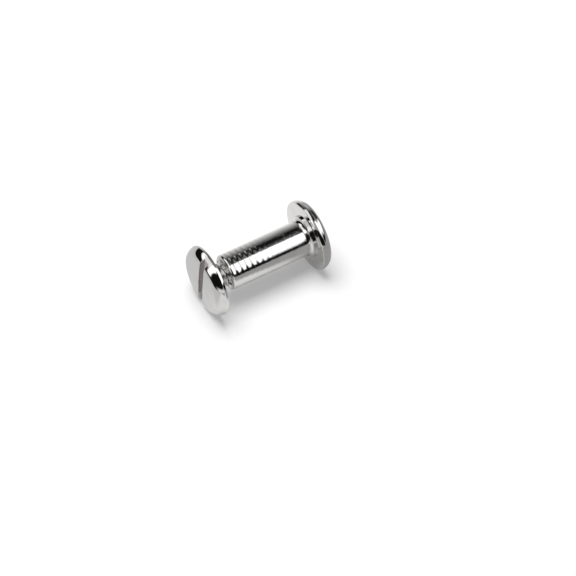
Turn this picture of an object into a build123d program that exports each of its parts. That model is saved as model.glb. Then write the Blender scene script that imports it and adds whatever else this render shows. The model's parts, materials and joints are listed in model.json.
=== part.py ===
from build123d import *
import math
import os

# A binding barrel screw, in millimetres. A slotted screw threads into a blind barrel, and both have a
# wide, low-domed head, so that sheets slipped over the barrel are held between the two heads.
# The axis lies along X with the screw's head towards -X. The part lies on the rims of its two heads,
# and the origin is at the bottom of its bounding box, in the middle.

# Heads, the same on the screw and on the barrel
head_diameter = 10.0
head_height = 1.65  # from the flat underside to the top of the dome
dome_radius = 100.0
shoulder_radius = 1.0  # rounds the dome into the rim
underside_chamfer = 0.12

# Barrel
barrel_length = 12.5  # from the mouth to the underside of its head
barrel_diameter = 5.0
flare_length = 1.0  # hollow curve where the barrel meets its head
flare_rise = 0.4
lip_radius = 0.35  # rounds the outer edge of the mouth
bore_depth = 9.6  # at full diameter, without the drill point
drill_point_angle = 118.0
mouth_chamfer = 0.25

# Screw, with a number 6-32 thread
thread_diameter = 3.5
thread_pitch = 0.79375  # 32 threads to the inch
shank_length = 6.75
neck_diameter = 3.0  # plain neck between the head and the thread
neck_length = 0.9
neck_fillet = 0.3
tip_chamfer = 0.45
slot_width = 1.1
slot_depth = 0.8  # below the top of the dome
slot_angle = 5.0  # leans the slot from upright towards -Y

# Fit, and how far the screw is backed off as the part lies
running_clearance = 0.05  # radial, between the thread's crests and the bore
turns_open = 2.6

rest_gap = turns_open * thread_pitch
head_radius = head_diameter / 2
thread_radius = thread_diameter / 2
bore_radius = thread_radius + running_clearance
underside_x = (barrel_length + rest_gap) / 2  # each head's underside is this far from the middle


def revolved(section):
    """Turn a half section, drawn above the X axis, into a solid round that axis, with its seam on top."""
    return Rot(X=90) * revolve(section, axis=Axis.X)


def outer_corner(section):
    """The corner furthest from the axis on the -X end of a half section."""
    return section.vertices().group_by(Axis.X)[0].sort_by(Axis.Y)[-1]


def domed_head():
    """A head with its flat underside at x = 0 and its dome towards +X."""
    dome_drop = dome_radius - math.sqrt(dome_radius**2 - head_radius**2)
    edge = (head_height - dome_drop, head_radius)
    outline = [
        Line((0, 0), (0, head_radius)),
        Line((0, head_radius), edge),
        RadiusArc(edge, (head_height, 0), dome_radius),
        Line((head_height, 0), (0, 0)),
    ]
    section = make_face(outline)
    shoulder = section.vertices().group_by(Axis.Y)[-1].sort_by(Axis.X)[-1]
    section = fillet(shoulder, shoulder_radius)
    return revolved(chamfer(outer_corner(section), underside_chamfer))


def barrel_stem():
    """The solid stem of the barrel: its mouth is at x = -barrel_length and it flares out at x = 0."""
    radius = barrel_diameter / 2
    outline = [
        Line((-barrel_length, 0), (-barrel_length, radius)),
        Line((-barrel_length, radius), (-flare_length, radius)),
        TangentArc((-flare_length, radius), (0, radius + flare_rise), tangent=(1, 0)),
        Line((0, radius + flare_rise), (0, 0)),
        Line((0, 0), (-barrel_length, 0)),
    ]
    section = make_face(outline)
    return revolved(fillet(outer_corner(section), lip_radius))


def blind_bore():
    """The drilled hole, open at x = -barrel_length, with a chamfered mouth and a drill point."""
    point_height = bore_radius / math.tan(math.radians(drill_point_angle / 2))
    shoulder = bore_depth - barrel_length
    outline = Polyline(
        (-barrel_length, 0),
        (-barrel_length, bore_radius + mouth_chamfer),
        (mouth_chamfer - barrel_length, bore_radius),
        (shoulder, bore_radius),
        (shoulder + point_height, 0),
        close=True,
    )
    return revolved(make_face(outline))


def shank():
    """The screw's shank, from the head's underside at x = 0 to its chamfered tip towards +X."""
    neck_radius = neck_diameter / 2
    ramp = thread_radius - neck_radius
    outline = [
        RadiusArc((0, neck_radius + neck_fillet), (neck_fillet, neck_radius), neck_fillet),
        Polyline(
            (neck_fillet, neck_radius),
            (neck_length - ramp, neck_radius),
            (neck_length, thread_radius),
            (shank_length - tip_chamfer, thread_radius),
            (shank_length, thread_radius - tip_chamfer),
            (shank_length, 0),
            (0, 0),
            (0, neck_radius + neck_fillet),
        ),
    ]
    return revolved(make_face(outline))


def driver_slot():
    """The straight slot across the screw's dome, cut to a flat floor."""
    floor_x = slot_depth - head_height
    cutter = Box(head_height, slot_width, 2 * head_diameter, align=(Align.MAX, Align.CENTER, Align.CENTER))
    return Rot(X=slot_angle) * Pos(X=floor_x) * cutter


def barrel_post():
    """The barrel in its place, with its head towards +X."""
    solid = barrel_stem() + domed_head() - blind_bore()
    return Pos(underside_x, 0, head_radius) * solid


def slotted_screw():
    """The screw in its place, with its head towards -X."""
    solid = shank() + Rot(Z=180) * domed_head() - driver_slot()
    return Pos(-underside_x, 0, head_radius) * solid


parts = {
    "barrel_post": barrel_post(),
    "slotted_screw": slotted_screw(),
}

os.makedirs("parts", exist_ok=True)
for name, solid in parts.items():
    export_step(solid, f"parts/{name}.step")
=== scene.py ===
"""Models and dresses a binding barrel screw around its packed CAD frame. Lengths are in metres."""

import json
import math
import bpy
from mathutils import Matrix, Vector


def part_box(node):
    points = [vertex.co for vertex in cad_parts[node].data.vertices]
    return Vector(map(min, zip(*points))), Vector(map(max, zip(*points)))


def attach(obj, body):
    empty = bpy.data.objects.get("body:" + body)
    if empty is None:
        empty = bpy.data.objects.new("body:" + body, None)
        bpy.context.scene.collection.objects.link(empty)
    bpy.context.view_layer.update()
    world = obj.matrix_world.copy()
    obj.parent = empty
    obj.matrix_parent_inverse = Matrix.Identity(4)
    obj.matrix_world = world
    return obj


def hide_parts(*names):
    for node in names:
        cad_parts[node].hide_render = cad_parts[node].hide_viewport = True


bl_info = {
    "name": "Binding barrel screw",
    "version": (1, 0, 0),
    "blender": (4, 5, 0),
    "location": "3D View > Sidebar > Barrel screw",
    "description": "Builds a plated binding barrel screw, backed off a few turns, on a white studio floor",
    "category": "Add Mesh",
}

import bmesh
import bpy
from bpy.props import FloatProperty, FloatVectorProperty, IntProperty, PointerProperty
from mathutils import Matrix, Vector

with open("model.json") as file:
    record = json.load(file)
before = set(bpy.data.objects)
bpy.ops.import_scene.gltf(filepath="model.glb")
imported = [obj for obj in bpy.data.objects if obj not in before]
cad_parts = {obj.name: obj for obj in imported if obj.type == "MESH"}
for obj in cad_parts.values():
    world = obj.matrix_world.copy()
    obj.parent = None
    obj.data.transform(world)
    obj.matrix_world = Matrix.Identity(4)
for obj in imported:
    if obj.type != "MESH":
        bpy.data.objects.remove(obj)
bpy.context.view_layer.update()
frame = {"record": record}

# Places in the frame
MOUNTS = {mount["name"]: mount for mount in frame["record"]["mounts"]}
BARREL_LOW, BARREL_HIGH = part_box("barrel_post")
SCREW_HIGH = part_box("slotted_screw")[1]
BARREL_UNDERSIDE = MOUNTS["barrel_head_underside"]["pos_m"][0]
SCREW_UNDERSIDE = MOUNTS["screw_head_underside"]["pos_m"][0]
AXIS_HEIGHT = MOUNTS["barrel_stem"]["pos_m"][2]
HEAD_RADIUS = (BARREL_HIGH.y - BARREL_LOW.y) / 2

FULL_TURN = 2 * math.pi
ORIGIN = (0, 0, 0)
X_AXIS = (1, 0, 0)
Z_AXIS = (0, 0, 1)
WELD = 1e-7  # points closer than this are one point
NEAR = 1e-6  # a point closer than this to a plane or a cylinder lies on it
HARD_EDGE = math.radians(38)  # a sharper bend than this is shaded as an edge

# How finely the curves are drawn
DOME_STEPS = 14
SHOULDER_STEPS = 8
SIDE_STEP = 4  # degrees of the head's side in one piece
EDGE_STEPS = 5
FLARE_STEPS = 9
LIP_STEPS = 7
NECK_STEPS = 6
CORNER_STEPS = 2  # of the thread's profile
PLAIN_ROWS = 4  # on the stem, between the flare and the ripple
RIPPLE_ROWS = 14  # on the stem, in one pitch of the ripple
FLOOR_STEPS = 96

# The thread's ends, in pitches
SPARE_TURNS = 2  # made before the start, and cut away
JOIN = 1 / 8  # between the thread and the turned surface before it
FAR_JOIN = 1 / 2  # between the inside thread and the plain bore past it
FADE_IN = 1 / 2
FADE_OUT = 2
RIPPLE_FULL = 1 / 3  # share of the ripple's length where it starts to fade

# Where the finish changes
UNDERSIDE_FADE = 0.0003
SLOT_FADE = 0.0002
SHANK_OUTSIDE = 0.37  # share of a head's radius
STEM_INSIDE = 0.4  # share of a head's radius
# The slot's darker colour fades in between these two; it is partly the milled finish and partly painted
# shade
SLOT_INSIDE = 0.49  # share of the slot's width
SLOT_OUTSIDE = 0.52  # share of the slot's width

# Where the flaws of the plate fade in, in their noise from 0 to 1
HAZE_EDGE = (0.45, 0.75)
ROUGH_HAZE_EDGE = (0.35, 0.8)
PIT_EDGE = (0.32, 0.12)
PATCH_EDGE = (0.56, 0.7)
FINE_DETAIL = 0.6  # share of the next finer noise in the grain and in the strokes
BARREL_SEED = 0.013  # shifts the patterns, so that the pieces differ
SCREW_SEED = 0.047

# Where the painted shade on the floor, seen only in the metal's reflections, starts and stops, from the
# middle to the right
RIGHT_SHADE_EDGE = (0.004, 0.012)
LEFT_SHADE_EDGE = (-0.006, -0.012)

BLACK = (0, 0, 0)
WHITE = (1, 1, 1)
CAMERA_RANGE = (0.01, 100)


# Sizes and looks that a user would change


def length(name, value, about):
    """A length that the sidebar shows, in metres."""
    return FloatProperty(name=name, description=about, default=value, unit="LENGTH", precision=5)


def angle(name, degrees, about):
    """An angle that the user can change."""
    return FloatProperty(name=name, description=about, default=math.radians(degrees), subtype="ANGLE")


def share(name, value, about):
    """A number from 0 to 1 that the sidebar shows as a slider."""
    return FloatProperty(name=name, description=about, default=value, min=0, max=1, subtype="FACTOR")


def count(name, value, about):
    """A whole number that the sidebar shows."""
    return IntProperty(name=name, description=about, default=value, min=3)


def light(name, value, about):
    """How bright something is in what the metal sees. The floor's white is 1."""
    return FloatProperty(name=name, description=about, default=value, min=0)


def colour(name, value, about):
    """A colour that the sidebar shows."""
    return FloatVectorProperty(name=name, description=about, default=value, subtype="COLOR")


class HeadSizes(bpy.types.PropertyGroup):
    """The low-domed heads, which differ only in the shoulder"""

    radius: length("Radius", HEAD_RADIUS, "Half the width of a head")
    height: length("Height", BARREL_HIGH.x - BARREL_UNDERSIDE, "From the underside to the top of the dome")
    dome_radius: length("Dome radius", 0.1, "Radius of the dome's sphere")
    shoulder_end: angle("Shoulder end", 45, "Slope at which the shoulder runs into the side")
    side_end: angle("Side end", 78, "Slope at which the side meets the rim")
    rim_step: length("Rim step", 0.00002, "Step where the shoulder meets the rim")
    taper: length("Taper", 0.00006, "How far the rim draws in towards the underside")
    taper_length: length("Taper length", 0.0002, "Length of the tapered part of the rim")
    edge_radius: length("Lower edge", 0.00008, "Rounds the rim into the underside")


class BarrelSizes(bpy.types.PropertyGroup):
    """The blind barrel"""

    shoulder_radius: length("Shoulder", 0.001, "Rounds the dome towards the head's side")
    side_radius: length("Side", 0.00142, "Rounds the head's side towards the rim")
    length: length("Length", BARREL_UNDERSIDE - BARREL_LOW.x, "From the mouth to the head's underside")
    radius: length("Radius", MOUNTS["barrel_stem"]["dims"]["r_mm"] / 1000, "Outside radius of the stem")
    flare_length: length("Flare length", 0.00065, "Hollow curve where the stem meets its collar")
    flare_rise: length("Flare rise", 0.0005, "How far the flare stands out from the stem")
    collar: length("Collar", 0.00028, "Length of the collar between the flare and the head")
    seat_gap: length("Seat gap", 0.00001, "Room left at the mouth when the screw's head is down on it")
    lip_radius: length("Lip", 0.00035, "Rounds the outer edge of the mouth")
    bore_radius: length("Bore radius", 0.0018, "Inside radius at the thread's crests")
    bore_depth: length("Bore depth", 0.0096, "Depth of the bore at its full width")
    drill_point: angle("Drill point", 118, "Full angle of the cone at the bottom of the bore")
    thread_length: length("Thread length", 0.0078, "How far the inside thread runs in from the mouth")
    groove: length("Groove", 0.00024, "Depth of the inside thread's groove")
    mouth_chamfer: length("Mouth chamfer", 0.00025, "Chamfer inside the mouth")
    ripple: length("Ripple", 0.0000095, "Height of the ripple that the inside thread raises on the stem")
    ripple_length: length("Ripple length", 0.0078, "How far the ripple runs before it fades out")


class ScrewSizes(bpy.types.PropertyGroup):
    """The slotted screw"""

    shoulder_radius: length("Shoulder", 0.00078, "Rounds the dome towards the head's side")
    side_radius: length("Side", 0.00195, "Rounds the head's side towards the rim")
    length: length("Shank length", SCREW_HIGH.x - SCREW_UNDERSIDE, "From the underside to the tip")
    crest_radius: length("Crest radius", 0.00175, "Half the width of the thread")
    root_radius: length("Root radius", 0.00129, "Half the width at the bottom of the thread")
    neck_radius: length("Neck radius", 0.0015, "Half the width of the plain neck")
    neck_length: length("Neck length", 0.00065, "Plain length under the head")
    neck_fillet: length("Neck fillet", 0.0003, "Rounds the neck into the head")
    tip_radius: length("Tip radius", 0.0013, "Half the width of the flat tip")
    slot_width: length("Slot width", 0.0011, "Width of the driver's slot")
    slot_depth: length("Slot depth", 0.0008, "Depth of the slot below the top of the dome")
    slot_break: length("Slot edge", 0.000035, "Breaks the slot's sharp edges")
    slot_lean: angle("Slot lean", 5, "Leans the slot from upright")


class ThreadSizes(bpy.types.PropertyGroup):
    """The number 6-32 thread"""

    pitch: length("Pitch", 0.0254 / 32, "Travel for one turn")
    crest_flat: length("Crest", 0.0001, "Width of the flat on a crest")
    root_flat: length("Root", 0.00016, "Width of the flat in a root")
    corner: length("Corner", 0.00003, "Rounds the corners of the profile")


class DetailSettings(bpy.types.PropertyGroup):
    """How finely the pieces are modelled"""

    steps: count("Steps", 144, "Faces round the axis")


class PlatingLook(bpy.types.PropertyGroup):
    """The finish of the plate"""

    bright: colour("Bright", (0.62, 0.612, 0.604), "Colour of clean plate")
    dull: colour("Dull", (0.5, 0.49, 0.475), "Colour of hazy plate and of pits")
    # The slot's colour is partly its milled finish and partly painted shade in the slot
    milled: colour("Milled", (0.56, 0.535, 0.53), "Colour of the milled slot")
    roughness: share("Roughness", 0.05, "Least roughness of the plate")
    cloud_roughness: share("Haze roughness", 0.05, "How much rougher the hazy patches are")
    grain_roughness: share("Grain roughness", 0.03, "How much rougher the grain is")
    pit_roughness: share("Pit roughness", 0.1, "How much rougher the pits are")
    shank_roughness: share("Shank roughness", 0.08, "How much rougher the rolled thread is")
    cloud_dull: share("Haze dullness", 0.45, "How dull the hazy patches are")
    pit_dull: share("Pit dullness", 0.35, "How dull the pits are")
    shank_dull: share("Shank dullness", 0.25, "How dull the rolled thread is")
    ring_size: length("Ring size", 0.00005, "Spacing of the turning marks")
    ring_height: length("Ring height", 0.0000002, "Height of the turning marks")
    peel_size: length("Peel size", 0.0006, "Size of the plate's waves")
    peel_height: length("Peel height", 0.0000035, "Height of the plate's waves")
    grain_size: length("Grain size", 0.00009, "Size of the plate's grain")
    grain_height: length("Grain height", 0.0000004, "Height of the plate's grain")
    cloud_size: length("Cloud size", 0.0022, "Size of the hazy patches")
    pit_size: length("Pit size", 0.00016, "Spacing of the pits")
    pit_patch: length("Pit patches", 0.00064, "Size of the patches that have pits")
    pit_depth: length("Pit depth", 0.000004, "Depth of the pits")
    stem_pits: share("Stem pits", 0.09, "How much wider the pitted patches are on the stem")
    stroke_size: length("Stroke size", 0.00014, "Spacing of the marks round the stem")
    stroke_squeeze: share("Stroke squeeze", 0.7, "Width of the marks for their length along the stem")
    stroke_height: length("Stroke height", 0.0000085, "Height of the marks round the stem")
    thread_height: length("Thread grain", 0.0000025, "Extra grain on the rolled thread")


class StudioSettings(bpy.types.PropertyGroup):
    """The camera, the floor and the lamps"""

    azimuth: angle("Azimuth", 30.4, "Turn of the view from +Y to +X")
    elevation: angle("Elevation", 52.25, "Height of the view")
    distance: length("Distance", 0.5, "From the camera to the middle of the view")
    view_width: length("View width", 0.07701, "Width that the view takes in at the part")
    aim_right: length("Aim right", 0.003952, "How far right of the part the camera aims")
    aim_down: length("Aim down", 0.004047, "How far below the part the camera aims")
    floor_size: length("Floor", 6.0, "Width of the floor")
    floor_lift: share("Floor lift", 0.2, "How much of the floor is plain white under the shadow")
    shadow_reach: length("Shadow reach", 0.05, "How far out the floor keeps the shadow")
    paper_dark: colour("Paper dark", (0.93, 0.93, 0.935), "Darkest colour of the floor")
    paper_light: colour("Paper light", (0.95, 0.95, 0.952), "Lightest colour of the floor")
    paper_grain: length("Paper grain", 0.0008, "Size of the floor's grain")
    # The metal's view of the floor beside the part is painted darker: painted shade in its reflections
    right_reflected_shade: share("Right dim", 0.56, "How much darker the metal sees the floor to its right")
    left_reflected_shade: share("Left dim", 0.26, "How much darker the metal sees the floor to its left")
    box_middle: light("Box middle", 0.5, "Light of the box overhead")
    box_side: light("Box sides", 2.0, "Light of the box at its sides")
    crown_light: light("Crown", 1.2, "Light straight overhead, on the left")
    left_strip: light("Left strip", 1.8, "Light of the strip on the left")
    horizon_light: light("Horizon", 0.85, "Light of the horizon at the back")
    right_panel: light("Right panel", 0.27, "Light of the panel on the right")
    front_left: light("Front left", 0.58, "Light low in front, on the left")
    front_right: light("Front right", 0.4, "How much brighter that light is on the right")
    right_strip: light("Right strip", 1.8, "Light of the strip on the far right")
    room_dark: light("Room", 0.008, "Light of the dark room")
    fill: light("Fill", 0.29, "Even light from all round")
    lamp_size: length("Lamp size", 0.5, "Width of the overhead lamp")
    lamp_height: length("Lamp height", 0.6, "Height of the overhead lamp")
    lamp_aside: FloatVectorProperty(
        name="Lamp aside",
        description="Place of the lamp over the floor",
        size=2,
        default=(-0.06, 0.11),
        unit="LENGTH",
    )
    lamp_power: FloatProperty(
        name="Lamp power", description="Power of the overhead lamp", default=3.7, unit="POWER"
    )


# Drawing an outline and turning it


class Outline:
    """Half a section above the X axis. It is drawn from point to point and then turned round the axis."""

    def __init__(self, x, radius):
        self.mesh = bmesh.new()
        self.tip = bmesh.ops.create_vert(self.mesh, co=(x, radius, 0))["vert"][0]

    def line(self, x, radius, pieces=1):
        """A straight line to the point, in equal pieces."""
        start = self.tip.co.copy()
        for piece in range(1, pieces + 1):
            self.tip = bmesh.ops.extrude_vert_indiv(self.mesh, verts=[self.tip])["verts"][0]
            self.tip.co = start.lerp(Vector((x, radius, 0)), piece / pieces)

    def arc(self, centre, degrees, steps):
        """An arc round the centre, counter-clockwise when the angle is above 0."""
        made = bmesh.ops.spin(
            self.mesh,
            geom=[self.tip],
            cent=(*centre, 0),
            axis=Z_AXIS,
            angle=math.radians(degrees),
            steps=steps,
        )
        self.tip = next(item for item in made["geom_last"] if isinstance(item, bmesh.types.BMVert))

    def turn(self, steps):
        """Spins the outline into a closed surface round the X axis."""
        weld(self.mesh)
        bmesh.ops.spin(
            self.mesh,
            geom=[*self.mesh.verts, *self.mesh.edges],
            cent=ORIGIN,
            axis=X_AXIS,
            angle=FULL_TURN,
            steps=steps,
            use_merge=True,
        )
        weld(self.mesh)
        return self.mesh


def weld(mesh):
    """Joins the points that lie on each other."""
    bmesh.ops.remove_doubles(mesh, verts=mesh.verts, dist=WELD)


def add_in(mesh, other):
    """Moves all of another mesh into this one."""
    data = bpy.data.meshes.new("part")
    other.to_mesh(data)
    other.free()
    mesh.from_mesh(data)
    bpy.data.meshes.remove(data)


def open_edges(mesh, axis, place):
    """The open edges that lie in the plane at a place on an axis, which is 0 for X or 1 for Y."""
    return [
        edge
        for edge in mesh.edges
        if edge.is_boundary and all(abs(point.co[axis] - place) < NEAR for point in edge.verts)
    ]


def bridge(mesh, x_a, x_b):
    """Closes the gap between the open rings at two places."""
    bmesh.ops.bridge_loops(mesh, edges=open_edges(mesh, 0, x_a) + open_edges(mesh, 0, x_b))


def blend(start, end, value):
    """0 up to start, 1 from end on, and a smooth rise between them."""
    t = min(max((value - start) / (end - start), 0), 1)
    return t * t * (3 - 2 * t)


# The thread


def thread_profile(thread, crest, root):
    """One pitch of the thread's outline, from root to root, with rounded corners."""
    flank = (thread.pitch - thread.crest_flat - thread.root_flat) / 2
    half_root = thread.root_flat / 2
    outline = Outline(0, root)
    outline.line(half_root, root)
    outline.line(half_root + flank, crest)
    outline.line(half_root + flank + thread.crest_flat, crest)
    outline.line(thread.pitch - half_root, root)
    outline.line(thread.pitch, root)
    corners = [v for v in outline.mesh.verts if len(v.link_edges) == 2]
    bmesh.ops.bevel(
        outline.mesh,
        geom=corners,
        offset=thread.corner,
        segments=CORNER_STEPS,
        profile=0.5,
        affect="VERTICES",
        material=-1,
    )
    return outline.mesh


def thread_tube(thread, crest, root, start, end, steps, limits):
    """A helical tube of thread, cut square at both ends. limits gives the least and the most radius at x."""
    mesh = thread_profile(thread, crest, root)
    bmesh.ops.translate(mesh, verts=mesh.verts, vec=(start - SPARE_TURNS * thread.pitch, 0, 0))
    bmesh.ops.spin(
        mesh,
        geom=[*mesh.verts, *mesh.edges],
        cent=ORIGIN,
        axis=X_AXIS,
        dvec=(thread.pitch / steps, 0, 0),
        angle=FULL_TURN,
        steps=steps,
    )
    first_turn = [*mesh.verts, *mesh.edges, *mesh.faces]
    for turn in range(1, math.ceil((end - start) / thread.pitch) + SPARE_TURNS + 1):
        copied = bmesh.ops.duplicate(mesh, geom=first_turn)["geom"]
        points = [item for item in copied if isinstance(item, bmesh.types.BMVert)]
        bmesh.ops.translate(mesh, verts=points, vec=(turn * thread.pitch, 0, 0))
    weld(mesh)
    for point in mesh.verts:
        least, most = limits(point.co.x)
        radius = math.hypot(point.co.y, point.co.z)
        scale = min(max(radius, least), most) / radius
        point.co.y *= scale
        point.co.z *= scale
    for place, way in ((start, -1), (end, 1)):
        bmesh.ops.bisect_plane(
            mesh,
            geom=[*mesh.verts, *mesh.edges, *mesh.faces],
            dist=WELD,
            plane_co=(place, 0, 0),
            plane_no=(way, 0, 0),
            clear_outer=True,
        )
    return mesh


# The pieces


def draw_head(head, owner, floor=None):
    """Starts an outline at the top of the dome and draws it down to the edge of the underside at x = 0.
    The owner, barrel or screw, has its own shoulder. A ring of points is placed at floor, so that a slot
    can be cut down to it."""
    dome_x = head.height - head.dome_radius
    side_out = owner.side_radius * (math.sin(head.side_end) - math.sin(head.shoulder_end))
    side_start = head.radius - head.rim_step - side_out
    shoulder_r = side_start - owner.shoulder_radius * math.sin(head.shoulder_end)
    shoulder_x = dome_x + math.sqrt((head.dome_radius - owner.shoulder_radius) ** 2 - shoulder_r**2)
    side_x = shoulder_x + (owner.shoulder_radius - owner.side_radius) * math.cos(head.shoulder_end)
    side_r = side_start - owner.side_radius * math.sin(head.shoulder_end)
    dome_end = math.degrees(math.atan2(shoulder_r, shoulder_x - dome_x))
    outline = Outline(head.height, 0)
    outline.arc((dome_x, 0), dome_end, DOME_STEPS)
    start = math.degrees(head.shoulder_end)
    outline.arc((shoulder_x, shoulder_r), start - dome_end, SHOULDER_STEPS)
    stops = [math.degrees(head.side_end)]
    if floor is not None:
        stops.insert(0, math.degrees(math.acos((floor - side_x) / owner.side_radius)))
    for stop in stops:
        outline.arc((side_x, side_r), stop - start, math.ceil((stop - start) / SIDE_STEP))
        start = stop
    outline.line(outline.tip.co.x - head.rim_step, head.radius)
    outline.line(head.edge_radius + head.taper_length, head.radius)
    outline.line(head.edge_radius, head.radius - head.taper)
    outline.arc((head.edge_radius, head.radius - head.taper - head.edge_radius), 90, EDGE_STEPS)
    return outline


def mouth_place(barrel):
    """Where the barrel's mouth is, with its head's underside at x = 0."""
    return barrel.seat_gap - barrel.length


def barrel_mesh(head, barrel, thread, steps):
    """The barrel, with its head's underside at x = 0 and its mouth towards -X."""
    mouth = mouth_place(barrel)
    flare_arc = (barrel.flare_length**2 + barrel.flare_rise**2) / (2 * barrel.flare_rise)
    flare_turn = math.degrees(math.asin(barrel.flare_length / flare_arc))
    outline = draw_head(head, barrel)
    collar = barrel.radius + barrel.flare_rise
    outline.line(0, collar)
    outline.line(-barrel.collar, collar)
    flare_centre = (-barrel.collar - barrel.flare_length, barrel.radius + flare_arc)
    outline.arc(flare_centre, -flare_turn, FLARE_STEPS)
    outline.line(mouth + barrel.ripple_length, barrel.radius, PLAIN_ROWS)
    rows = round((barrel.ripple_length - barrel.lip_radius) / thread.pitch * RIPPLE_ROWS)
    outline.line(mouth + barrel.lip_radius, barrel.radius, rows)
    outline.arc((mouth + barrel.lip_radius, barrel.radius - barrel.lip_radius), 90, LIP_STEPS)
    outline.line(mouth, barrel.bore_radius + barrel.mouth_chamfer)
    chamfer_end = mouth + barrel.mouth_chamfer
    outline.line(chamfer_end, barrel.bore_radius)
    mesh = outline.turn(steps)
    ripple_stem(mesh, barrel, thread)
    start = chamfer_end + JOIN * thread.pitch
    end = mouth + barrel.thread_length
    past_end = end + FAR_JOIN * thread.pitch
    full_depth = mouth + barrel.bore_depth
    bottom = Outline(full_depth + barrel.bore_radius / math.tan(barrel.drill_point / 2), 0)
    bottom.line(full_depth, barrel.bore_radius)
    bottom.line(past_end, barrel.bore_radius)
    add_in(mesh, bottom.turn(steps))

    def limits(x):
        fade_in = blend(start, start + FADE_IN * thread.pitch, x)
        fade_out = blend(end, end - FADE_OUT * thread.pitch, x)
        return barrel.bore_radius, barrel.bore_radius + barrel.groove * (fade_out * fade_in)

    groove = barrel.bore_radius + barrel.groove
    add_in(mesh, thread_tube(thread, groove, barrel.bore_radius, start, end, steps, limits))
    bridge(mesh, chamfer_end, start)
    bridge(mesh, end, past_end)
    return mesh


def ripple_stem(mesh, barrel, thread):
    """Raises the faint ripple of the inside thread on the outside of the stem."""
    mouth = mouth_place(barrel)
    for point in mesh.verts:
        x, y, z = point.co
        radius = math.hypot(y, z)
        if abs(radius - barrel.radius) > NEAR or x > -barrel.flare_length - barrel.collar:
            continue
        far = x - mouth
        fade_in = blend(0, barrel.lip_radius, far)
        fade_out = blend(barrel.ripple_length, barrel.ripple_length * RIPPLE_FULL, far)
        turn = far / thread.pitch - math.atan2(z, y) / FULL_TURN
        wave = barrel.ripple * (fade_in * fade_out) * math.cos(FULL_TURN * turn)
        point.co.y *= 1 + wave / radius
        point.co.z *= 1 + wave / radius


def screw_mesh(head, screw, thread, steps):
    """The screw, with its head's underside at x = 0, its dome towards +X and its tip at -length."""
    floor = head.height - screw.slot_depth
    outline = draw_head(head, screw, floor)
    outline.line(0, screw.neck_radius + screw.neck_fillet)
    outline.arc((-screw.neck_fillet, screw.neck_radius + screw.neck_fillet), -90, NECK_STEPS)
    mesh = outline.turn(steps)
    cut_slot(mesh, screw, floor)
    neck = -screw.neck_fillet
    start = neck - JOIN * thread.pitch
    tip = -screw.length
    root_depth = screw.neck_radius - screw.root_radius

    def limits(x):
        down = -x - screw.neck_length
        least = screw.neck_radius - root_depth * blend(0, thread.pitch, down)
        most = min(screw.neck_radius + max(down, 0), screw.tip_radius + x - tip)
        return min(least, max(most, 0)), most

    add_in(mesh, thread_tube(thread, screw.crest_radius, screw.root_radius, tip, start, steps, limits))
    bridge(mesh, neck, start)
    bmesh.ops.holes_fill(mesh, edges=open_edges(mesh, 0, tip), sides=0)
    return mesh


def cut_slot(mesh, screw, floor):
    """Cuts the straight slot along Z through the dome, down to floor, and breaks its edges."""
    half = screw.slot_width / 2
    for side in (-half - screw.slot_break, -half, half, half + screw.slot_break):
        top = [face for face in mesh.faces if face.calc_center_median().x > floor]
        parts = {item for face in top for item in (face, *face.edges, *face.verts)}
        bmesh.ops.bisect_plane(
            mesh, geom=list(parts), dist=WELD, plane_co=(0, side, 0), plane_no=(0, 1, 0)
        )
    centres = {face: face.calc_center_median() for face in mesh.faces}
    inside = [face for face, centre in centres.items() if centre.x > floor and abs(centre.y) < half]
    bmesh.ops.delete(mesh, geom=inside, context="FACES")
    for side in (-half, half):
        wall = open_edges(mesh, 1, side)
        points = sorted({v for e in wall for v in e.verts}, key=lambda v: v.co.z)
        for point in points[1:-1]:
            point.co.x -= screw.slot_break
        foot = mesh.edges.new((points[0], points[-1]))
        bmesh.ops.contextual_create(mesh, geom=[*wall, foot])
    bmesh.ops.contextual_create(mesh, geom=open_edges(mesh, 0, floor))


def finish_piece(name, mesh, place, body, node, material):
    """Makes the piece's object, ties it to its body and its finish, and hides the CAD node that it stands
    for.
    """
    bmesh.ops.transform(mesh, matrix=place, verts=mesh.verts)
    weld(mesh)
    bmesh.ops.recalc_face_normals(mesh, faces=mesh.faces)
    data = bpy.data.meshes.new(name)
    mesh.to_mesh(data)
    mesh.free()
    data.shade_smooth()
    data.set_sharp_from_angle(angle=HARD_EDGE)
    data.materials.append(material)
    piece = bpy.data.objects.new(name, data)
    bpy.context.scene.collection.objects.link(piece)
    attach(piece, body)
    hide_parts(node)
    return piece


# Materials


class Wire:
    """A value in a node tree. Python's operators on it add Math nodes."""

    def __init__(self, nodes, socket):
        self.nodes = nodes
        self.socket = socket

    def maths(self, operation, *values):
        """A Math node, which takes wires and numbers in order, or this wire alone."""
        inputs = dict(enumerate(values or [self]))
        return self.nodes.add("ShaderNodeMath", inputs, operation=operation)["Value"]

    def __add__(self, other):
        return self.maths("ADD", self, other)

    def __radd__(self, other):
        return self.maths("ADD", other, self)

    def __sub__(self, other):
        return self.maths("SUBTRACT", self, other)

    def __rsub__(self, other):
        return self.maths("SUBTRACT", other, self)

    def __mul__(self, other):
        return self.maths("MULTIPLY", self, other)

    def __rmul__(self, other):
        return self.maths("MULTIPLY", other, self)

    def __truediv__(self, other):
        return self.maths("DIVIDE", self, other)

    def __pow__(self, other):
        return self.maths("POWER", self, other)

    def rise(self, start, end):
        """0 at start and 1 at end, with a smooth rise between them."""
        inputs = {"Value": self, "From Min": start, "From Max": end}
        return self.nodes.add("ShaderNodeMapRange", inputs, interpolation_type="SMOOTHSTEP")["Result"]

    def larger(self, other):
        """The larger of two values."""
        return self.maths("MAXIMUM", self, other)

    def limited(self):
        """The value, kept from 0 to 1."""
        return self.nodes.add("ShaderNodeClamp", {"Value": self})["Result"]


class Added:
    """A node that has been added. Its outputs are read by name."""

    def __init__(self, nodes, node):
        self.nodes = nodes
        self.node = node

    def __getitem__(self, name):
        return Wire(self.nodes, self.node.outputs[name])


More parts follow.
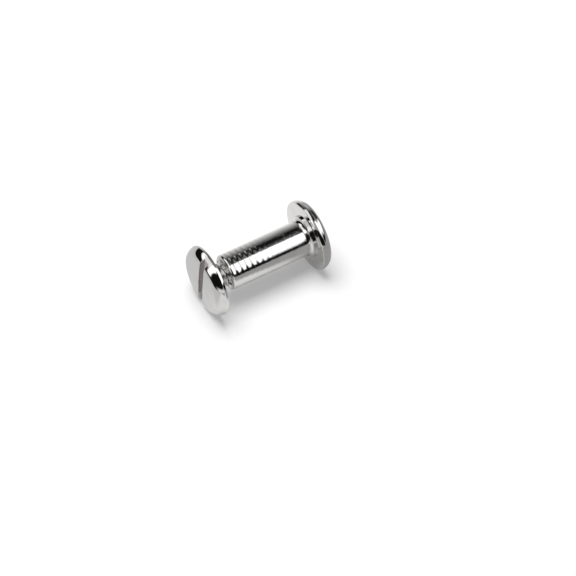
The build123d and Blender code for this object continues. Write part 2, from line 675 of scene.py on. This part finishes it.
class Nodes:
    """Fills a node tree."""

    def __init__(self, tree):
        self.tree = tree
        tree.nodes.clear()

    def add(self, kind, inputs=None, **settings):
        """Adds a node, makes its settings, and then gives its sockets their wires or values."""
        node = self.tree.nodes.new(kind)
        for name, value in settings.items():
            setattr(node, name, value)
        for name, value in (inputs or {}).items():
            if isinstance(value, Wire):
                self.tree.links.new(value.socket, node.inputs[name])
            else:
                node.inputs[name].default_value = value
        return Added(self, node)

    def mix(self, share_of_b, a, b):
        """A colour between two others."""
        node = self.tree.nodes.new("ShaderNodeMix")
        node.data_type = "RGBA"
        colours = [socket for socket in node.inputs if socket.type == "RGBA"]
        for socket, value in ((node.inputs["Factor"], share_of_b), (colours[0], a), (colours[1], b)):
            if isinstance(value, Wire):
                self.tree.links.new(value.socket, socket)
            else:
                socket.default_value = value if socket.type == "VALUE" else (*value, 1)
        return Wire(self, next(socket for socket in node.outputs if socket.type == "RGBA"))

    def noise(self, vector, size, detail, roughness=0.5):
        """Smooth noise from 0 to 1, with features about as large as size."""
        inputs = {"Vector": vector, "Scale": 1 / size, "Detail": detail, "Roughness": roughness}
        return self.add("ShaderNodeTexNoise", inputs)["Fac"]

    def mapped(self, vector, **changes):
        """The vector, moved or scaled."""
        return self.add("ShaderNodeMapping", {"Vector": vector, **changes})["Vector"]

    def turned(self, vector, axis, turn):
        """The vector, turned round the axis X or Z."""
        inputs = {"Vector": vector, "Angle": turn}
        return self.add("ShaderNodeVectorRotate", inputs, rotation_type=f"{axis}_AXIS")["Vector"]

    def split(self, vector):
        """The vector's three parts."""
        parts = self.add("ShaderNodeSeparateXYZ", {"Vector": vector})
        return parts["X"], parts["Y"], parts["Z"]


def new_material(name):
    """An empty material, and what fills its node tree."""
    material = bpy.data.materials.new(name)
    material.use_nodes = True
    return material, Nodes(material.node_tree)


def plating_material(name, look, seed, slot=None):
    """Bright nickel plate over turned and rolled steel. slot is the screw whose slot is painted darker
    inside, partly as its milled finish and partly as painted shade.
    """
    material, nodes = new_material(name)
    place = nodes.add("ShaderNodeTexCoord")["Object"]
    from_axis = nodes.mapped(place, Location=(0, 0, -AXIS_HEIGHT))
    x, y, z = nodes.split(from_axis)
    radius = (y * y + z * z) ** 0.5

    # Which surface this is
    off_heads = x.rise(SCREW_UNDERSIDE, SCREW_UNDERSIDE + UNDERSIDE_FADE)
    off_heads = off_heads * x.rise(BARREL_UNDERSIDE, BARREL_UNDERSIDE - UNDERSIDE_FADE)
    on_shank = off_heads * radius.rise(HEAD_RADIUS * STEM_INSIDE, HEAD_RADIUS * SHANK_OUTSIDE)
    on_stem = off_heads - on_shank

    # Marks and flaws, each with its own pattern
    shifted = nodes.mapped(from_axis, Location=(seed, seed, seed))
    rings_place = nodes.add("ShaderNodeCombineXYZ", {"X": x + seed, "Y": radius})["Vector"]
    rings = nodes.noise(rings_place, look.ring_size, 3)
    peel = nodes.noise(shifted, look.peel_size, 1)
    grain = nodes.noise(shifted, look.grain_size, 3, FINE_DETAIL)
    cloud = nodes.noise(shifted, look.cloud_size, 3)
    squeezed = nodes.mapped(shifted, Scale=(1, look.stroke_squeeze, look.stroke_squeeze))
    strokes = nodes.noise(squeezed, look.stroke_size, 2, FINE_DETAIL)
    cells = nodes.add("ShaderNodeTexVoronoi", {"Vector": shifted, "Scale": 1 / look.pit_size})["Distance"]
    patches = nodes.noise(shifted, look.pit_patch, 1) + on_stem * look.stem_pits
    pits = cells.rise(*PIT_EDGE) * patches.rise(*PATCH_EDGE)

    dull = cloud.rise(*HAZE_EDGE) * look.cloud_dull + pits * look.pit_dull + on_shank * look.shank_dull
    tint = nodes.mix(dull.limited(), look.bright, look.dull)
    # Painted shade, partly the milled finish: the inside of the slot gets a darker, browner colour
    if slot:
        across = nodes.split(nodes.turned(from_axis, "X", -slot.slot_lean))[1].maths("ABSOLUTE")
        slot_shade_mask = across.rise(slot.slot_width * SLOT_OUTSIDE, slot.slot_width * SLOT_INSIDE)
        slot_shade_mask = slot_shade_mask * x.rise(SCREW_UNDERSIDE, SCREW_UNDERSIDE - SLOT_FADE)
        tint = nodes.mix(slot_shade_mask, tint, look.milled)
    rough = look.roughness + cloud.rise(*ROUGH_HAZE_EDGE) * look.cloud_roughness
    rough = rough + grain * look.grain_roughness
    rough = rough + pits * look.pit_roughness + on_shank * look.shank_roughness
    height = rings * look.ring_height + peel * look.peel_height + grain * look.grain_height
    height = height - pits * look.pit_depth + on_shank * grain * look.thread_height
    height = height + on_stem * strokes * look.stroke_height
    bump = nodes.add("ShaderNodeBump", {"Height": height, "Strength": 1.0, "Distance": 1.0})["Normal"]
    shader = nodes.add(
        "ShaderNodeBsdfPrincipled",
        {"Base Color": tint, "Metallic": 1.0, "Roughness": rough, "Normal": bump},
    )
    nodes.add("ShaderNodeOutputMaterial", {"Surface": shader["BSDF"]})
    return material


# The stage


def make_floor(studio):
    """A round white floor. It keeps the part's shadow near it and is plain white further out. Beside the
    part it is painted darker where the metal reflects it, as painted shade.
    """
    mesh = bmesh.new()
    bmesh.ops.create_circle(mesh, cap_ends=True, segments=FLOOR_STEPS, radius=studio.floor_size / 2)
    data = bpy.data.meshes.new("floor")
    mesh.to_mesh(data)
    mesh.free()
    floor = bpy.data.objects.new("floor", data)
    bpy.context.scene.collection.objects.link(floor)
    material, nodes = new_material("white sweep")
    place = nodes.add("ShaderNodeTexCoord")["Object"]
    away = nodes.add("ShaderNodeVectorMath", {"Vector": place}, operation="LENGTH")["Value"]
    rays = nodes.add("ShaderNodeLightPath")
    grain = nodes.noise(place, studio.paper_grain, 3)
    paper_white = nodes.mix(grain, studio.paper_dark, studio.paper_light)
    # Painted shade: where glossy rays see the floor to the part's right and left, its colour and its glow
    # are painted darker, so the metal reflects a shaded floor that the camera does not see
    aside = nodes.split(nodes.turned(place, "Z", studio.azimuth))[0]
    beside = aside.rise(*RIGHT_SHADE_EDGE) * studio.right_reflected_shade + aside.rise(*LEFT_SHADE_EDGE) * studio.left_reflected_shade
    reflected_shade = rays["Is Glossy Ray"] * (1 - rays["Is Camera Ray"]) * beside
    paper = nodes.add(
        "ShaderNodeBsdfPrincipled",
        {
            "Base Color": nodes.mix(reflected_shade, paper_white, BLACK),
            "Roughness": 1.0,
            "Specular IOR Level": 0.0,
        },
    )
    backdrop = nodes.mix(reflected_shade, WHITE, BLACK)
    white = nodes.add("ShaderNodeEmission", {"Color": backdrop, "Strength": 1.0})
    seen = (rays["Is Camera Ray"] + rays["Is Glossy Ray"] + rays["Is Transmission Ray"]).limited()
    far_out = away.rise(studio.shadow_reach, 2 * studio.shadow_reach)
    plain = seen * (studio.floor_lift + (1 - studio.floor_lift) * far_out)
    mixed = nodes.add("ShaderNodeMixShader", {0: plain, 1: paper["BSDF"], 2: white["Emission"]})
    nodes.add("ShaderNodeOutputMaterial", {"Surface": mixed["Shader"]})
    data.materials.append(material)


def studio_lights(studio, right, back, up):
    """What the metal sees above the floor, from the direction that it looks in. right, back and up are
    the direction's parts, from -1 to 1, and each rise says between which of them the edge of a light
    fades. The box of light overhead is dimmer in its middle and cut along a bent edge at the back. Where
    two lights overlap, the brighter one is seen."""
    left_half = right.rise(0.06, -0.1)
    box_edge = 0.6 * right.larger(0.0) + (0.45 * right + 0.16) * left_half - 0.11
    box = (back + 0.2 * (right * right)).rise(-0.52, -0.42)
    box = box * (box_edge - back).rise(-0.06, 0.06) * up.rise(0.32, 0.44)
    box_sides = (right + 0.6 * back).rise(0.12, 0.28).larger(right.rise(0.06, -0.08))
    crown = (right + 0.25 * back).rise(0.09, -0.04) * back.rise(-0.3, -0.1) * up.rise(0.66, 0.76)
    left_strip = up.rise(0.46, 0.54) * up.rise(0.76, 0.68)
    left_strip = left_strip * right.rise(-0.4, -0.54) * back.rise(0.1, 0.25)
    horizon = (1 - up / 0.75).limited() * back.rise(0.1, 0.4)
    horizon = horizon * right.rise(-0.4, -0.24) * right.rise(0.5, 0.2)
    right_panel = (right + 0.2 * back).rise(0.22, 0.34) * back.rise(-0.2, 0.0) * up.rise(0.35, 0.6)
    front = (up + 0.12 * right.rise(0.3, 0.6)).rise(0.24, 0.12)
    front = front * back.rise(-0.3, -0.5) * right.rise(-0.5, -0.1)
    right_strip = right.rise(0.66, 0.78) * back.rise(0.02, 0.2) * up.rise(0.1, 0.2)
    lights = (
        box * (studio.box_middle + (studio.box_side - studio.box_middle) * box_sides),
        crown * studio.crown_light,
        left_strip * studio.left_strip,
        horizon * studio.horizon_light,
        right_panel * studio.right_panel,
        front * (studio.front_left + right.rise(0.6, 0.3) * studio.front_right),
        right_strip * studio.right_strip,
    )
    brightest = lights[0]
    for other in lights[1:]:
        brightest = brightest.larger(other)
    return brightest + studio.room_dark


def make_world(studio):
    """The studio that the metal sees. The camera sees plain white, and other rays get an even, soft
    light."""
    world = bpy.data.worlds.new("studio")
    bpy.context.scene.world = world
    world.use_nodes = True
    nodes = Nodes(world.node_tree)
    toward = nodes.add("ShaderNodeTexCoord")["Generated"]
    right, back, up = nodes.split(nodes.turned(toward, "Z", studio.azimuth))
    rays = nodes.add("ShaderNodeLightPath")
    not_camera = 1 - rays["Is Camera Ray"]
    shiny = (rays["Is Glossy Ray"] + rays["Is Transmission Ray"]).limited() * not_camera
    level = rays["Is Camera Ray"] + shiny * studio_lights(studio, right, back, up)
    level = level + (1 - shiny) * not_camera * studio.fill
    background = nodes.add("ShaderNodeBackground", {"Color": level, "Strength": 1.0})
    nodes.add("ShaderNodeOutputWorld", {"Surface": background["Background"]})
    world.cycles.sampling_method = "NONE"


def make_lamp(studio):
    """A soft overhead lamp that throws the part's shadow. The world stands for it in reflections."""
    data = bpy.data.lights.new("overhead", "AREA")
    data.shape = "DISK"
    data.size = studio.lamp_size
    data.energy = studio.lamp_power
    lamp = bpy.data.objects.new("overhead", data)
    lamp.location = (studio.lamp_aside[0], studio.lamp_aside[1], studio.lamp_height)
    lamp.rotation_mode = "QUATERNION"
    lamp.rotation_quaternion = lamp.location.to_track_quat("Z", "Y")
    lamp.visible_camera = False
    lamp.visible_glossy = False
    bpy.context.scene.collection.objects.link(lamp)


def make_camera(studio):
    """The camera, aimed beside the part as the view frames it."""
    turn, height = studio.azimuth, studio.elevation
    level = math.cos(height)
    ahead = Vector((math.sin(turn) * level, math.cos(turn) * level, -math.sin(height)))
    right = ahead.cross(Vector(Z_AXIS)).normalized()
    up = right.cross(ahead)
    middle = Vector((0, 0, AXIS_HEIGHT)) + right * studio.aim_right - up * studio.aim_down
    data = bpy.data.cameras.new("camera")
    data.lens = data.sensor_width * studio.distance / studio.view_width
    data.clip_start, data.clip_end = CAMERA_RANGE
    camera = bpy.data.objects.new("camera", data)
    camera.location = middle - ahead * studio.distance
    camera.rotation_mode = "QUATERNION"
    camera.rotation_quaternion = ahead.to_track_quat("-Z", "Y")
    bpy.context.scene.collection.objects.link(camera)
    bpy.context.scene.camera = camera


# Operators


class OBJECT_OT_barrel(bpy.types.Operator):
    """Models the plated barrel"""

    bl_idname = "object.binding_barrel"
    bl_label = "Barrel"

    def execute(self, context):
        scene = context.scene
        steps = scene.screw_detail.steps
        mesh = barrel_mesh(scene.screw_head, scene.screw_barrel, scene.screw_thread, steps)
        place = Matrix.Translation((BARREL_UNDERSIDE, 0, AXIS_HEIGHT))
        material = plating_material("barrel plating", scene.screw_plating, BARREL_SEED)
        finish_piece("plated_barrel", mesh, place, "barrel", "barrel_post", material)
        return {"FINISHED"}


class OBJECT_OT_screw(bpy.types.Operator):
    """Models the plated screw"""

    bl_idname = "object.binding_screw"
    bl_label = "Screw"

    def execute(self, context):
        scene = context.scene
        screw = scene.screw_screw
        steps = scene.screw_detail.steps
        mesh = screw_mesh(scene.screw_head, screw, scene.screw_thread, steps)
        place = Matrix.Translation((SCREW_UNDERSIDE, 0, AXIS_HEIGHT))
        place = place @ Matrix.Rotation(screw.slot_lean, 4, "X") @ Matrix.Rotation(math.pi, 4, "Z")
        material = plating_material("screw plating", scene.screw_plating, SCREW_SEED, screw)
        finish_piece("plated_screw", mesh, place, "screw", "slotted_screw", material)
        return {"FINISHED"}


class SCENE_OT_studio(bpy.types.Operator):
    """Sets up the floor, the light and the camera"""

    bl_idname = "scene.binding_studio"
    bl_label = "Studio"

    def execute(self, context):
        studio = context.scene.screw_studio
        context.scene.view_settings.view_transform = "Standard"
        make_camera(studio)
        make_floor(studio)
        make_world(studio)
        make_lamp(studio)
        return {"FINISHED"}


class VIEW3D_PT_barrel_screw(bpy.types.Panel):
    """Lists the steps and their settings"""

    bl_label = "Barrel screw"
    bl_space_type = "VIEW_3D"
    bl_region_type = "UI"
    bl_category = "Barrel screw"

    def draw(self, context):
        for operator in (OBJECT_OT_barrel, OBJECT_OT_screw, SCENE_OT_studio):
            self.layout.operator(operator.bl_idname)
        for name, group in GROUPS.items():
            box = self.layout.box()
            box.label(text=group.__doc__)
            for prop in group.__annotations__:
                box.prop(getattr(context.scene, name), prop)


GROUPS = {
    "screw_head": HeadSizes,
    "screw_barrel": BarrelSizes,
    "screw_screw": ScrewSizes,
    "screw_thread": ThreadSizes,
    "screw_detail": DetailSettings,
    "screw_plating": PlatingLook,
    "screw_studio": StudioSettings,
}
CLASSES = (*GROUPS.values(), OBJECT_OT_barrel, OBJECT_OT_screw, SCENE_OT_studio, VIEW3D_PT_barrel_screw)


def register():
    for cls in CLASSES:
        bpy.utils.register_class(cls)
    for name, group in GROUPS.items():
        setattr(bpy.types.Scene, name, PointerProperty(type=group))


def unregister():
    for name in GROUPS:
        delattr(bpy.types.Scene, name)
    for cls in reversed(CLASSES):
        bpy.utils.unregister_class(cls)


def main():
    register()
    bpy.ops.scene.binding_studio()
    bpy.ops.object.binding_barrel()
    bpy.ops.object.binding_screw()


if __name__ == "__main__":
    main()
